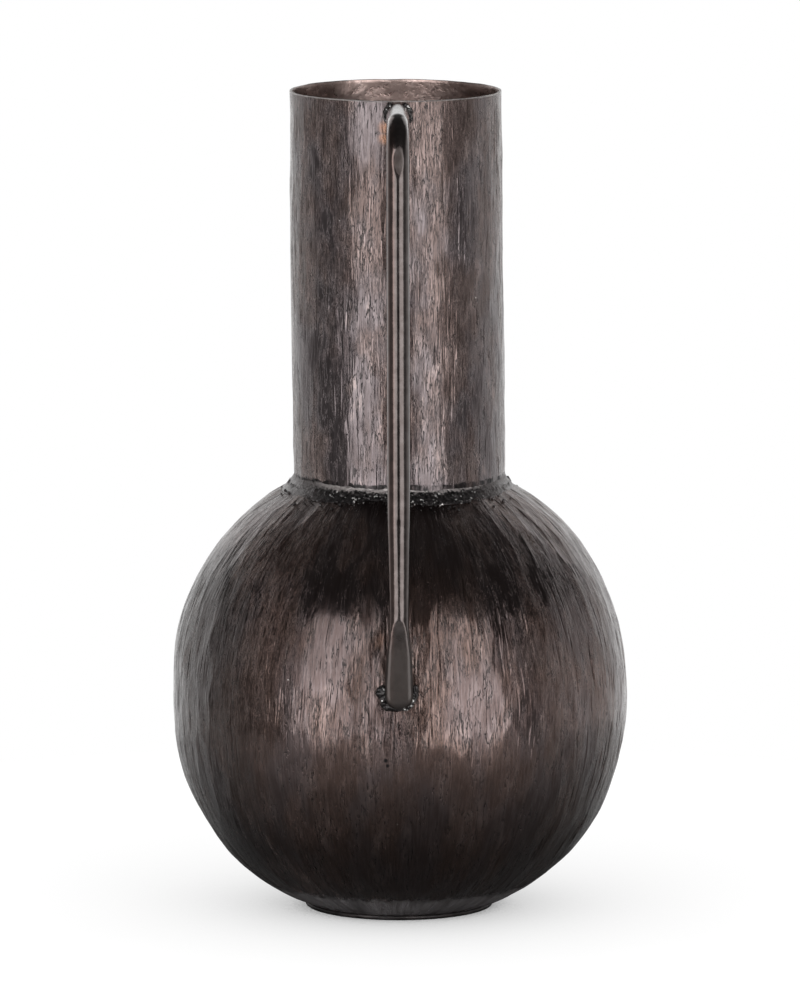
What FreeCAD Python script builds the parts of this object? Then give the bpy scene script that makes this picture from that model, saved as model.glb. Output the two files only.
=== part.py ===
"""Urn vase of textured sheet metal: a round bowl in two halves, a straight neck, a base disc and two rod handles.

Sizes are in millimetres. The vase stands on the plane z = 0 with its axis on +Z.
Both handles lie in the plane x = 0: the front one is on the -Y side and the rear one on the +Y side.
The rear one is made in front as well and then turned to the rear.
"""
import FreeCAD
import Part

import math
import os

from FreeCAD import Vector

# Bowl: its outline is a superellipse above the belly line and another below it
belly_radius = 102.5
belly_height = 98.3
bowl_height = 192.9
shoulder_power = 2.11
keel_power = 2.2
bowl_wall = 1.2
outline_steps = 12

# Neck
overall_height = 370.0
neck_radius = 47.5
neck_wall = 1.2

# Base disc, which stands a little proud of the bowl above it
base_radius = 42.3
base_thickness = 2.0
base_lip = 1.2
base_edge_round = 0.9

# Seam weld between the two halves of the bowl, ground flush outside
seam_gap = 1.6
seam_root_width = 4.0
seam_root_height = 0.8

# Fillet weld round the foot of the neck
neck_bead_rise = 4.0
neck_bead_spread = 5.5
neck_bead_hollow = 0.5

# Weld inside the bowl, round the base disc
base_bead_radius = 1.8

# Handle rod
rod_radius = 5.0
rod_top_gap = 1.0
bend_radius = 16.0
# The rear handle meets the neck this much lower, so that none of it shows above the far rim
rear_handle_drop = 4.5

# Flat that the bending tool left on the outside of the bend
bend_flat_depth = 0.6
bend_flat_tilt = 5.5

# Forged foot of the handle: it narrows to a waist, spreads, and is pressed flat on both faces
foot_above_belly = 8.2
foot_length = 85.0
foot_spread = 1.3
foot_press = 2.4
press_length = 41.5
press_run = 16.0
foot_end_blunting = 0.9
foot_bite = 0.4
# Share of the foot's length from its top, and the share of its spread there, which is negative at the waist
foot_width_shares = (
    (0.0, 0.0),
    (0.24, -0.2),
    (0.42, -0.34),
    (0.55, -0.34),
    (0.65, 0.0),
    (0.74, 0.55),
    (0.84, 0.92),
    (1.0, 1.0),
)

# Welds at the two ends of each handle
top_bead_radius = 1.5
foot_bead_radius = 2.0

# Overrun of every cutting solid
overrun = 6.0

X_AXIS = Vector(1, 0, 0)
Y_AXIS = Vector(0, 1, 0)
Z_AXIS = Vector(0, 0, 1)
ORIGIN = Vector(0, 0, 0)
HALF_TURN = 180.0
FULL_TURN = 360.0
ANGLE_STEP = 1e-9


def outline_reach(power, height, radius):
    """Half height of the superellipse that has this radius at this height from the belly line."""
    return height / (1 - (radius / belly_radius) ** power) ** (1 / power)


# Sizes that follow from the ones above
shoulder_rise = outline_reach(shoulder_power, bowl_height - belly_height, neck_radius)
keel_drop = outline_reach(keel_power, belly_height - base_thickness, base_radius - base_lip)
foot_half_width = rod_radius + foot_spread
foot_half_thickness = rod_radius - foot_press
foot_end_radius = foot_half_width + foot_end_blunting
foot_bottom = belly_height + foot_above_belly
foot_top = foot_bottom + foot_length
press_top = foot_bottom + press_length
front_rod_height = overall_height - rod_top_gap - rod_radius
rear_rod_height = front_rod_height - rear_handle_drop


def bowl_radius_at(height):
    """Outer radius of the bowl at a height above the floor."""
    above = height >= belly_height
    reach = shoulder_rise if above else keel_drop
    power = shoulder_power if above else keel_power
    share = abs(height - belly_height) / reach
    return belly_radius * (1 - share**power) ** (1 / power)


def shoulder_height_at(radius):
    """Height of the bowl's outer surface above the belly line, at a radius."""
    share = radius / belly_radius
    return belly_height + shoulder_rise * (1 - share**shoulder_power) ** (1 / shoulder_power)


def outline_point(angle, inset):
    """Radius and height of the outline at an angle from -90 to 90 degrees, moved inwards by inset."""
    above = angle >= 0
    reach = shoulder_rise if above else keel_drop
    power = shoulder_power if above else keel_power
    across = max(math.cos(angle), 0.0) ** (2 / power)
    along = abs(math.sin(angle)) ** (2 / power)
    normal_r = across ** (power - 1) / belly_radius
    normal_z = along ** (power - 1) / reach
    length = math.hypot(normal_r, normal_z)
    radius = belly_radius * across - inset * normal_r / length
    height = reach * along - inset * normal_z / length
    return max(radius, 0.0), belly_height + (height if above else -height)


def inner_radius_at(height):
    """Inner radius of the bowl at a height below the belly line."""
    low, high = -math.pi / 2, 0.0
    while high - low > ANGLE_STEP:
        middle = (low + high) / 2
        if outline_point(middle, bowl_wall)[1] < height:
            low = middle
        else:
            high = middle
    return outline_point(high, bowl_wall)[0]


def ring_point(radius, height):
    """A point of a section in the plane y = 0."""
    return Vector(radius, 0, height)


def lathe(edges):
    """Solid made by turning a closed section about the axis."""
    face = Part.Face(Part.Wire(edges))
    return face.revolve(ORIGIN, Z_AXIS, FULL_TURN)


def ovoid(inset):
    """The bowl as a full closed body, with its surface moved inwards by inset."""
    angles = [math.pi / 2 * k / outline_steps for k in range(-outline_steps, outline_steps + 1)]
    points = [ring_point(*outline_point(angle, inset)) for angle in angles]
    curve = Part.BSplineCurve()
    curve.interpolate(Points=points, InitialTangent=X_AXIS, FinalTangent=-X_AXIS)
    return lathe([curve.toShape(), Part.makeLine(points[-1], points[0])])


def slab(low, high):
    """A disc wider than the bowl, between two heights."""
    return Part.makeCylinder(belly_radius + overrun, high - low, ring_point(0, low))


def make_bowl():
    """Upper half, lower half and the seam weld between them."""
    inner = ovoid(bowl_wall)
    shell = ovoid(0).cut(inner)
    bore = Part.makeCylinder(neck_radius - neck_wall, overall_height, ring_point(0, belly_height))
    seam_top = belly_height + seam_gap / 2
    seam_bottom = belly_height - seam_gap / 2
    upper = shell.common(slab(seam_top, bowl_height)).cut(bore)
    lower = shell.common(slab(base_thickness, seam_bottom))
    seam = shell.common(slab(seam_bottom, seam_top)).fuse(seam_root(inner)).removeSplitter()
    return upper, lower, seam


def seam_root(inner):
    """Low bead that the seam weld leaves inside the bowl."""
    wall_radius = belly_radius - bowl_wall
    top = ring_point(wall_radius, belly_height + seam_root_width / 2)
    crown = ring_point(wall_radius - seam_root_height, belly_height)
    bottom = ring_point(wall_radius, belly_height - seam_root_width / 2)
    back_bottom = ring_point(belly_radius, bottom.z)
    back_top = ring_point(belly_radius, top.z)
    bead = lathe([
        Part.Arc(top, crown, bottom).toShape(),
        Part.makeLine(bottom, back_bottom),
        Part.makeLine(back_bottom, back_top),
        Part.makeLine(back_top, top),
    ])
    return bead.common(inner)


def make_neck():
    """Neck tube with a fully rounded rim."""
    inner_radius = neck_radius - neck_wall
    shoulder = overall_height - neck_wall / 2
    outer_foot = ring_point(neck_radius, bowl_height)
    outer_top = ring_point(neck_radius, shoulder)
    crown = ring_point(neck_radius - neck_wall / 2, overall_height)
    inner_top = ring_point(inner_radius, shoulder)
    inner_foot = ring_point(inner_radius, bowl_height)
    return lathe([
        Part.makeLine(outer_foot, outer_top),
        Part.Arc(outer_top, crown, inner_top).toShape(),
        Part.makeLine(inner_top, inner_foot),
        Part.makeLine(inner_foot, outer_foot),
    ])


def make_neck_weld(neck, upper):
    """Hollow fillet bead in the corner between the neck and the shoulder."""
    spread_radius = neck_radius + neck_bead_spread
    top = ring_point(neck_radius, bowl_height + neck_bead_rise)
    bottom = ring_point(spread_radius, shoulder_height_at(spread_radius))
    chord = bottom - top
    inwards = Vector(chord.z, 0, -chord.x).normalize()
    middle = (top + bottom) * 0.5 + inwards * neck_bead_hollow
    neck_core = ring_point(neck_radius - neck_wall / 2, top.z)
    corner_core = ring_point(neck_core.x, bowl_height - bowl_wall / 2)
    bowl_core = ring_point(spread_radius, bottom.z - bowl_wall / 2)
    section = [
        Part.Arc(top, middle, bottom).toShape(),
        Part.makeLine(bottom, bowl_core),
        Part.makeLine(bowl_core, corner_core),
        Part.makeLine(corner_core, neck_core),
        Part.makeLine(neck_core, top),
    ]
    return lathe(section).cut(neck).cut(upper)


def make_base():
    """Base disc with a rounded lower edge."""
    lean = base_edge_round * (1 - math.sqrt(0.5))
    flat_end = ring_point(base_radius - base_edge_round, 0)
    round_middle = ring_point(base_radius - lean, lean)
    side_foot = ring_point(base_radius, base_edge_round)
    side_top = ring_point(base_radius, base_thickness)
    centre_top = ring_point(0, base_thickness)
    return lathe([
        Part.makeLine(ORIGIN, flat_end),
        Part.Arc(flat_end, round_middle, side_foot).toShape(),
        Part.makeLine(side_foot, side_top),
        Part.makeLine(side_top, centre_top),
        Part.makeLine(centre_top, ORIGIN),
    ])


def make_base_weld():
    """Bead inside the bowl, in the corner above the base disc."""
    ring = Part.makeTorus(inner_radius_at(base_thickness), base_bead_radius, ring_point(0, base_thickness))
    return ring.common(ovoid(bowl_wall)).common(slab(base_thickness, belly_height))


def handle_reach():
    """Distance from the axis to the middle of a handle's upright."""
    return bowl_radius_at(foot_bottom) + foot_half_thickness - foot_bite


def front_point(distance, height):
    """A point of the front handle's plane, at a distance from the axis."""
    return Vector(0, -distance, height)


def bent_rod(rod_height):
    """Level part, bend and upright of a handle in front, with its level part at a height."""
    reach = handle_reach()
    diagonal = bend_radius * math.sqrt(0.5)
    start = front_point(neck_radius - neck_wall, rod_height)
    bend_start = front_point(reach - bend_radius, rod_height)
    bend_middle = front_point(reach - bend_radius + diagonal, rod_height - bend_radius + diagonal)
    bend_end = front_point(reach, rod_height - bend_radius)
    end = front_point(reach, foot_top)
    path = Part.Wire([
        Part.makeLine(start, bend_start),
        Part.Arc(bend_start, bend_middle, bend_end).toShape(),
        Part.makeLine(bend_end, end),
    ])
    section = Part.Wire([Part.makeCircle(rod_radius, start, Y_AXIS)])
    return path.makePipeShell([section], True, True)


def bend_flat(reach, rod_height):
    """Cutter for the flat on the outside of the bend."""
    touch = front_point(reach + rod_radius - bend_flat_depth, rod_height - bend_radius)
    width = rod_radius + overrun
    box = Part.makeBox(2 * width, overrun, 2 * (bend_radius + rod_radius))
    box.translate(touch - Vector(width, overrun, bend_radius + rod_radius))
    box.rotate(touch, X_AXIS, -bend_flat_tilt)
    return box


def spread_foot(reach):
    """Foot of the handle, drawn in and spread but not yet pressed thin."""
    sections = []
    for length_share, width_share in foot_width_shares:
        centre = front_point(reach, foot_top - foot_length * length_share)
        half_width = rod_radius + foot_spread * width_share
        if half_width > rod_radius:
            across = centre + X_AXIS * half_width
            deep = centre + Y_AXIS * rod_radius
            oval = Part.Ellipse(across, deep, centre)
        else:
            oval = Part.Circle(centre, Z_AXIS, half_width)
        sections.append(Part.Wire([oval.toShape()]))
    return Part.makeLoft(sections, True, True)


def press_cutter(reach, side):
    """Cutter that thins the foot on its outer side (1) or its inner side (-1)."""
    bottom = foot_bottom - overrun
    surface = reach + side * rod_radius
    pressed = reach + side * foot_half_thickness
    clear = reach + side * (rod_radius + overrun)
    corners = [
        front_point(surface, press_top),
        front_point(pressed, press_top - press_run),
        front_point(pressed, bottom),
        front_point(clear, bottom),
        front_point(clear, press_top),
    ]
    width = foot_half_width + overrun
    wire = Part.makePolygon(corners + corners[:1])
    wire.translate(-X_AXIS * width)
    return Part.Face(wire).extrude(X_AXIS * 2 * width)


def foot_end_centre(distance):
    """Centre of the arc that rounds off the foot, at a distance from the axis."""
    return front_point(distance, foot_bottom + foot_end_radius)


def foot_outline(reach):
    """Prism that is open upwards and rounds off the foot's lower end as seen from the front."""
    depth = 2 * (rod_radius + overrun)
    width = 2 * (foot_end_radius + overrun)
    centre = foot_end_centre(reach + depth / 2)
    disc = Part.makeCylinder(foot_end_radius, depth, centre, Y_AXIS)
    box = Part.makeBox(width, depth, foot_length)
    box.translate(centre - X_AXIS * (width / 2))
    return disc.fuse(box)


def make_handle(rod_height):
    """One rod from the front of the neck, bent down and pressed flat where it lies on the bowl."""
    reach = handle_reach()
    foot = spread_foot(reach)
    for side in (1, -1):
        foot = foot.cut(press_cutter(reach, side))
    foot = foot.common(foot_outline(reach)).cut(ovoid(0))
    neck_core = Part.makeCylinder(neck_radius, overall_height)
    rod = bent_rod(rod_height).cut(bend_flat(reach, rod_height)).cut(neck_core)
    return rod.fuse(foot)


def make_top_weld(handle, rod_height):
    """Bead round the handle's root on the neck, trimmed level with the rim."""
    centre = front_point(neck_radius, rod_height)
    ring = Part.makeTorus(rod_radius, top_bead_radius, centre, Y_AXIS)
    neck_core = Part.makeCylinder(neck_radius, overall_height)
    below_rim = slab(0, overall_height)
    return ring.common(below_rim).cut(neck_core).cut(handle)


def make_foot_weld(handle):
    """Bead round the lower end of the handle's foot on the bowl."""
    centre = foot_end_centre(bowl_radius_at(foot_bottom))
    ring = Part.makeTorus(foot_end_radius, foot_bead_radius, centre, Y_AXIS)
    width = 2 * (foot_end_radius + overrun)
    lower_half = Part.makeBox(width, width, width / 2)
    lower_half.translate(centre - Vector(width, width, width) / 2)
    clear = lower_half.cut(ovoid(0)).cut(handle)
    return ring.common(clear)


def behind(shape):
    """A copy of a front piece, turned to the rear."""
    turned = shape.copy()
    turned.rotate(ORIGIN, Z_AXIS, HALF_TURN)
    return turned


def make_handle_set(rod_height):
    """A handle in front with its two welds."""
    handle = make_handle(rod_height)
    return {
        "handle": handle,
        "handle_top_weld": make_top_weld(handle, rod_height),
        "handle_foot_weld": make_foot_weld(handle),
    }


def build():
    """Every sub-part by name."""
    upper, lower, seam = make_bowl()
    neck = make_neck()
    nodes = {
        "upper_bowl": upper,
        "lower_bowl": lower,
        "belly_seam_weld": seam,
        "neck_tube": neck,
        "neck_weld": make_neck_weld(neck, upper),
        "base_disc": make_base(),
        "base_weld": make_base_weld(),
    }
    for name, shape in make_handle_set(front_rod_height).items():
        nodes["front_" + name] = shape
    for name, shape in make_handle_set(rear_rod_height).items():
        nodes["rear_" + name] = behind(shape)
    return nodes


def main():
    os.makedirs("parts", exist_ok=True)
    for name, shape in build().items():
        (solid,) = shape.Solids
        solid.exportStep(os.path.join("parts", name + ".step"))


main()
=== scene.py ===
"""Looks of the urn vase: textured lacquered sheet metal, forged rod handles and coarse welds.

The vase stands on z = 0 with its axis on +Z; the handle of the main view is on the -Y side.
Shapes are worked out in millimetres and written to the meshes in metres.
"""

import math

import bpy
import numpy as np
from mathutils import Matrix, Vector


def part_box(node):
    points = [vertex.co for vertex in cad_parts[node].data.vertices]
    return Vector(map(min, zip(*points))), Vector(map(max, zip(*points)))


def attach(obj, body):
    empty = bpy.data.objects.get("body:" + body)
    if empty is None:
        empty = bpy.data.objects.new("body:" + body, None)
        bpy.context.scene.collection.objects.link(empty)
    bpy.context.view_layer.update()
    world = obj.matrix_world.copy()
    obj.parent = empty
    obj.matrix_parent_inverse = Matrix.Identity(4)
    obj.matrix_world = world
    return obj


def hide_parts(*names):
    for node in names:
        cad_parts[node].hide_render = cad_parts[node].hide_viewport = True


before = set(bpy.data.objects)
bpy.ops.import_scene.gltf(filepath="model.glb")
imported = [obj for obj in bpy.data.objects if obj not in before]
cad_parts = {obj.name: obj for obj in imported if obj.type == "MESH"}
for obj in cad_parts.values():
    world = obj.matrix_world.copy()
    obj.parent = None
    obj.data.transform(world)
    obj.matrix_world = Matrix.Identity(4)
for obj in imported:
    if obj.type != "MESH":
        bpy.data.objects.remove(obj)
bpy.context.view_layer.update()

MM = 0.001
TURN = 2 * math.pi

# Outline of the vase, as in the solids
belly_radius = 102.5
belly_height = 98.3
bowl_height = 192.9
shoulder_power = 2.11
keel_power = 2.2
bowl_wall = 1.2
overall_height = 370.0
neck_radius = 47.5
neck_wall = 1.2
base_radius = 42.3
base_thickness = 2.0
base_lip = 1.2
base_edge_round = 0.9

# Handle, as in the solids
rod_radius = 5.0
rod_top_gap = 1.0
rear_handle_drop = 4.5
bend_radius = 16.0
bend_flat_depth = 0.6
bend_flat_tilt = 5.5
foot_above_belly = 8.2
foot_length = 85.0
foot_spread = 1.3
foot_press = 2.4
press_length = 41.5
press_run = 16.0
foot_end_blunting = 0.9
foot_bite = 0.4
foot_corner_round = 1.5
handle_lean = 0.7
neck_lean = 1.8
foot_width_shares = ((0.0, 0.0), (0.24, -0.2), (0.42, -0.34), (0.55, -0.34), (0.65, 0.0), (0.74, 0.55),
                     (0.84, 0.92), (1.0, 1.0))

# Grid of the textured sheets
bowl_columns = 1760
bowl_rows = 52
neck_columns = 1000
neck_rows = 76
neck_inner_rows = 62
inner_step = 8
neck_inner_step = 4
rod_columns = 128

# Section of the rim: how far in from the wall and how far below the top each ring lies
rim_bevel = ((0.01, 0.42), (0.06, 0.31), (0.12, 0.27), (0.20, 0.25), (0.85, 0.10), (0.95, 0.09), (1.05, 0.13),
             (1.14, 0.30))
rim_depth = 0.6
rim_wave_limit = 0.08

# Grooves of the bowl and of the neck: how many, and low and high length, width and depth, and their lean
bowl_groove_count = 3000
bowl_groove_look = (6.0, 26.0, 0.24, 0.5, 0.03, 0.32, 0.05)
neck_groove_count = 1300
neck_groove_look = (6.0, 26.0, 0.22, 0.45, 0.03, 0.26, 0.05)

# Flat on the left of the belly: half width of its band in degrees, half height and depth
flat_angle = 13
flat_half_height = 19.0
flat_depth = 0.9

# Neck bead: how far it climbs the neck and spreads over the shoulder, and its drops of spatter
neck_bead_rise = 4.6
neck_bead_spread = 5.6
drop_count = 260

# Seeds of the random draws
bowl_seed, neck_seed, base_seed = 41, 57, 5
neck_bead_seed, seam_bead_seed, base_bead_seed = 7, 8, 9


def outline_reach(power, height, radius):
    """Half height of the superellipse that has this radius at this height from the belly line."""
    return height / (1 - (radius / belly_radius) ** power) ** (1 / power)


shoulder_rise = outline_reach(shoulder_power, bowl_height - belly_height, neck_radius)
keel_drop = outline_reach(keel_power, belly_height - base_thickness, base_radius - base_lip)
foot_half_width = rod_radius + foot_spread
foot_half_thickness = rod_radius - foot_press
foot_end_radius = foot_half_width + foot_end_blunting
foot_bottom = belly_height + foot_above_belly
foot_top = foot_bottom + foot_length
press_top = foot_bottom + press_length
front_rod_height = overall_height - rod_top_gap - rod_radius
rear_rod_height = front_rod_height - rear_handle_drop


def bowl_radius_at(height):
    """Outer radius of the bowl at heights above the floor."""
    height = np.asarray(height, float)
    above = height >= belly_height
    reach = np.where(above, shoulder_rise, keel_drop)
    power = np.where(above, shoulder_power, keel_power)
    share = np.clip(np.abs(height - belly_height) / reach, 0, 1)
    return belly_radius * (1 - share**power) ** (1 / power)


handle_reach = float(bowl_radius_at(foot_bottom)) + foot_half_thickness - foot_bite
rod_start = neck_radius - 0.9

# Handles: name, side, height of the rod's top run, and the seeds of the rod, its top bead and its foot bead
handles = (("front_handle", -1, front_rod_height, 23, 61, 71),
           ("rear_handle", 1, rear_rod_height, 29, 62, 72))


def bowl_outline(inset, low, high, count):
    """Radius, height and outward normal at even steps of the bowl's outline between two heights."""
    angle = np.radians(np.linspace(-90, 90, 8001))
    above = angle >= 0
    reach = np.where(above, shoulder_rise, keel_drop)
    power = np.where(above, shoulder_power, keel_power)
    across = np.clip(np.cos(angle), 0, 1) ** (2 / power)
    along = np.abs(np.sin(angle)) ** (2 / power)
    normal_r = across ** (power - 1) / belly_radius
    normal_z = along ** (power - 1) / reach * np.where(above, 1, -1)
    length = np.hypot(normal_r, normal_z)
    normal_r, normal_z = normal_r / length, normal_z / length
    radius = np.clip(belly_radius * across - inset * normal_r, 0, None)
    height = belly_height + reach * along * np.where(above, 1, -1) - inset * normal_z
    inside = (height >= low) & (height <= high)
    radius, height, normal_r, normal_z = (v[inside] for v in (radius, height, normal_r, normal_z))
    run = np.concatenate([[0], np.cumsum(np.hypot(np.diff(radius), np.diff(height)))])
    steps = np.linspace(0, run[-1], count)
    return [np.interp(steps, run, v) for v in (radius, height, normal_r, normal_z)] + [steps]


# Fields of relief, in millimetres, over a grid of rows and columns


def band_noise(rng, shape, step, wave):
    """Smooth noise of unit spread; step is the grid's pitch, wave a wave's length, both (rows, columns)."""
    white = rng.standard_normal(shape)
    freq_v = np.fft.fftfreq(shape[0], step[0])[:, None] * wave[0]
    freq_u = np.fft.rfftfreq(shape[1], step[1])[None, :] * wave[1]
    spectrum = np.fft.rfft2(white) * np.exp(-((freq_v**2 + freq_u**2) * 2.0))
    field = np.fft.irfft2(spectrum, s=shape)
    return field / field.std()


def noises(rng, shape, step, *parts):
    """Sum of smooth noises; each part is a size and the length of a wave."""
    return sum(size * band_noise(rng, shape, step, wave) for size, wave in parts)


def hammer_field(rng, shape, step, cell):
    """Shallow dishes of the hammer with ridges between them, from 0 in a dish to about 1 on a ridge."""
    height, width = (n * s for n, s in zip(shape, step))
    rows, columns = max(2, round(height / cell[0])), max(3, round(width / cell[1]))
    jitter = rng.random((rows + 2, columns, 2))
    level = rng.random((rows + 2, columns)) * 0.5
    v = (np.arange(shape[0]) * step[0] / height * rows)[:, None] + np.zeros(shape[1])[None, :]
    u = (np.arange(shape[1]) / shape[1] * columns)[None, :] + np.zeros(shape[0])[:, None]
    row, column = v.astype(int), u.astype(int)
    best = np.full(shape, 9.0)
    for dv in (-1, 0, 1):
        for du in (-1, 0, 1):
            r, c = row + dv, column + du
            cell_index = np.clip(r + 1, 0, rows + 1), c % columns
            j = jitter[cell_index]
            near = (r + j[..., 0] - v) ** 2 + (c + j[..., 1] - u) ** 2 + level[cell_index]
            best = np.minimum(best, near)
    return best


def stamp_grooves(rng, field, run, radius, count, look):
    """Cuts narrow upright grooves with a raised lip into field, at run and radius (mm) of its rows."""
    rows, columns = field.shape
    long_low, long_high, wide_low, wide_high, deep_low, deep_high, lean = look
    chance = radius / radius.sum()
    starts = rng.choice(rows, count, p=chance)
    angle = rng.random(count) * columns
    length = long_low + (long_high - long_low) * rng.random(count) ** 1.8
    width = wide_low + (wide_high - wide_low) * rng.random(count) ** 1.5
    depth = deep_low + (deep_high - deep_low) * rng.random(count) ** 2
    slope = rng.normal(0, lean, count)
    bow = rng.normal(0, lean, count)
    lip = rng.random(count)
    for k in range(count):
        middle = run[starts[k]] + (rng.random() - 0.5) * (run[1] - run[0])
        low, high = np.searchsorted(run, [middle - length[k] / 2, middle + length[k] / 2])
        if high <= low:
            continue
        pick = np.arange(low, high)
        along = (run[pick] - middle) / (length[k] / 2)
        pitch = TURN * radius[pick] / columns
        shift = (slope[k] * along + bow[k] * along**2) * length[k] / 2
        centre = angle[k] + shift / pitch
        reach = int(np.ceil((3 * width[k] / pitch).max())) + 1
        column = np.round(centre)[:, None].astype(int) + np.arange(-reach, reach + 1)[None, :]
        off = (column - centre[:, None]) * pitch[:, None] / width[k]
        fade = np.clip(1 - along**2, 0, 1)[:, None] ** 0.6
        cut = -np.exp(-off**2 * 2) + 0.45 * lip[k] * np.exp(-((off - 1.4) ** 2) * 2)
        row = np.broadcast_to(pick[:, None], column.shape)
        np.add.at(field, (row, column % columns), depth[k] * cut * fade)


# Meshes


def grid_faces(rows, columns, start=0, flip=False, closed_rows=False):
    """Quads of a grid whose columns close round the axis."""
    row = np.arange(rows if closed_rows else rows - 1)[:, None]
    column = np.arange(columns)[None, :]
    after, up = (column + 1) % columns, (row + 1) % rows
    here, above = row * columns, up * columns
    quads = np.stack([here + column, here + after, above + after, above + column], -1).reshape(-1, 4) + start
    return (quads[:, ::-1] if flip else quads).tolist()


def fan_faces(tip, start, columns, flip=False):
    """Triangles between a ring of points and a single one."""
    ends = [(start + j, start + (j + 1) % columns) for j in range(columns)]
    return [[tip, b, a] if flip else [tip, a, b] for a, b in ends]


def stitch_faces(fine, fine_count, coarse, step, flip=False):
    """Triangles between a fine ring and a coarse ring that starts at the same angle."""
    faces = []
    count = fine_count // step
    half = step // 2
    for j in range(count):
        here, there = coarse + j, coarse + (j + 1) % count
        ring = [fine + (j * step + k) % fine_count for k in range(step + 1)]
        faces += [(here, ring[k + 1], ring[k]) for k in range(half)]
        faces += [(there, ring[k + 1], ring[k]) for k in range(half, step)]
        faces.append((here, there, ring[half]))
    return [f[::-1] for f in faces] if flip else faces


def ring_points(radius, height, columns):
    """Points of rows of rings; radius and height are per row or per row and column."""
    angle = np.arange(columns) / columns * TURN
    radius = np.broadcast_to(np.asarray(radius, float).reshape(len(radius), -1), (len(radius), columns))
    height = np.broadcast_to(np.asarray(height, float).reshape(len(height), -1), (len(height), columns))
    return np.stack([radius * np.cos(angle), radius * np.sin(angle), height], -1).reshape(-1, 3)


def grid_normals(points, flip=False):
    """Normals at the points of a grid (rows, columns, 3) whose columns close round the axis."""
    along = np.gradient(points, axis=0)
    around = np.roll(points, -1, axis=1) - np.roll(points, 1, axis=1)
    normal = np.cross(around, along)
    normal /= np.maximum(np.linalg.norm(normal, axis=2, keepdims=True), 1e-12)
    return -normal if flip else normal


def new_object(name, data):
    """An object in the scene that shows a mesh, a light or a camera."""
    made = bpy.data.objects.new(name, data)
    bpy.context.scene.collection.objects.link(made)
    return made


def make_piece(name, points, faces, material, nodes, normals=None, lining=None):
    """A mesh of the vase from points in millimetres, riding on the frame in place of some nodes.

    The lining is a second material and the number of the first face that has it.
    """
    mesh = bpy.data.meshes.new(name)
    mesh.from_pydata((np.asarray(points) * MM).tolist(), [], faces)
    mesh.polygons.foreach_set("use_smooth", [True] * len(mesh.polygons))
    mesh.materials.append(material)
    if lining:
        mesh.materials.append(lining[0])
        mesh.polygons.foreach_set("material_index", [int(k >= lining[1]) for k in range(len(faces))])
    mesh.update()
    if normals is not None:
        mesh.normals_split_custom_set_from_vertices(normals.tolist())
    piece = new_object(name, mesh)
    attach(piece, "root")
    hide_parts(*nodes)


# Materials


class Graph:
    """The node tree of a material or of the surroundings, written as nested calls."""

    def __init__(self, name, world=False):
        self.owner = bpy.data.worlds.new(name) if world else bpy.data.materials.new(name)
        self.owner.use_nodes = True
        self.tree = self.owner.node_tree
        self.tree.nodes.clear()

    def node(self, kind, inputs=(), output=0, **settings):
        """One output of a new node; inputs that are sockets are linked and plain values are set."""
        made = self.tree.nodes.new("ShaderNode" + kind)
        for key, value in settings.items():
            setattr(made, key, value)
        for key, value in dict(inputs).items():
            if isinstance(value, bpy.types.NodeSocket):
                self.tree.links.new(value, made.inputs[key])
            elif value is not None:
                made.inputs[key].default_value = value
        return made.outputs[output]

    def math(self, operation, a, b=None, clamp=False):
        return self.node("Math", {0: a, 1: b}, operation=operation, use_clamp=clamp)

    def product(self, value, *factors):
        for factor in factors:
            value = self.math("MULTIPLY", value, factor)
        return value

    def add(self, value, *terms):
        for term in terms:
            value = self.math("ADD", value, term)
        return value

    def vector(self, operation, a, b=None, output=0):
        return self.node("VectorMath", {0: a, 1: b}, output, operation=operation)

    def length(self, vector):
        return self.vector("LENGTH", vector, output=1)

    def scaled(self, vector, factor):
        return self.node("VectorMath", {0: vector, "Scale": factor}, operation="SCALE")

    def combine(self, x, y, z):
        return self.node("CombineXYZ", {0: x, 1: y, 2: z})

    def separate(self, vector):
        """The three parts of a vector or a colour."""
        return list(self.node("SeparateXYZ", {0: vector}).node.outputs)

    def millimetres(self, place):
        """The three coordinates of a place, in millimetres."""
        return self.separate(self.scaled(place, 1 / MM))

    def noise(self, vector, scale, detail=2.0, rough=0.5, distortion=0.0):
        look = {"Scale": scale, "Detail": detail, "Roughness": rough, "Distortion": distortion}
        return self.node("TexNoise", {"Vector": vector, **look})

    def span(self, value, low, high, to_low=0.0, to_high=1.0):
        """Smooth step from to_low, where the value is low, to to_high, where it is high."""
        ends = {0: value, 1: low, 2: high, 3: to_low, 4: to_high}
        return self.node("MapRange", ends, interpolation_type="SMOOTHSTEP")

    def mix(self, share, a, b):
        """Colour a, and b where the share is 1; each is a socket or plain (red, green, blue)."""
        a, b = (v if isinstance(v, bpy.types.NodeSocket) else (*v, 1.0) for v in (a, b))
        return self.node("Mix", {0: share, 6: a, 7: b}, 2, data_type="RGBA")

    def bump(self, height, distance, normal=None):
        return self.node("Bump", {"Height": height, "Distance": distance, "Strength": 1.0, "Normal": normal})

    def looking_rays(self):
        """The camera's own rays, and those together with reflected and refracted ones."""
        outputs = self.node("LightPath").node.outputs
        camera = outputs["Is Camera Ray"]
        seen = self.math("ADD", camera, outputs["Is Glossy Ray"])
        return camera, self.math("ADD", seen, outputs["Is Transmission Ray"], clamp=True)

    def lacquer(self, colour, rough, normal, metallic, coat, coat_rough):
        """Lacquered metal as a finished material."""
        return self.finish(self.node("BsdfPrincipled", {
            "Base Color": colour, "Metallic": metallic, "Roughness": rough, "Normal": normal,
            "Coat Weight": coat, "Coat Roughness": coat_rough, "Coat IOR": 1.5,
        }))

    def finish(self, shader):
        kind = "OutputWorld" if isinstance(self.owner, bpy.types.World) else "OutputMaterial"
        out = self.tree.nodes.new("ShaderNode" + kind)
        self.tree.links.new(shader, out.inputs["Surface"])
        return self.owner


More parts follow.
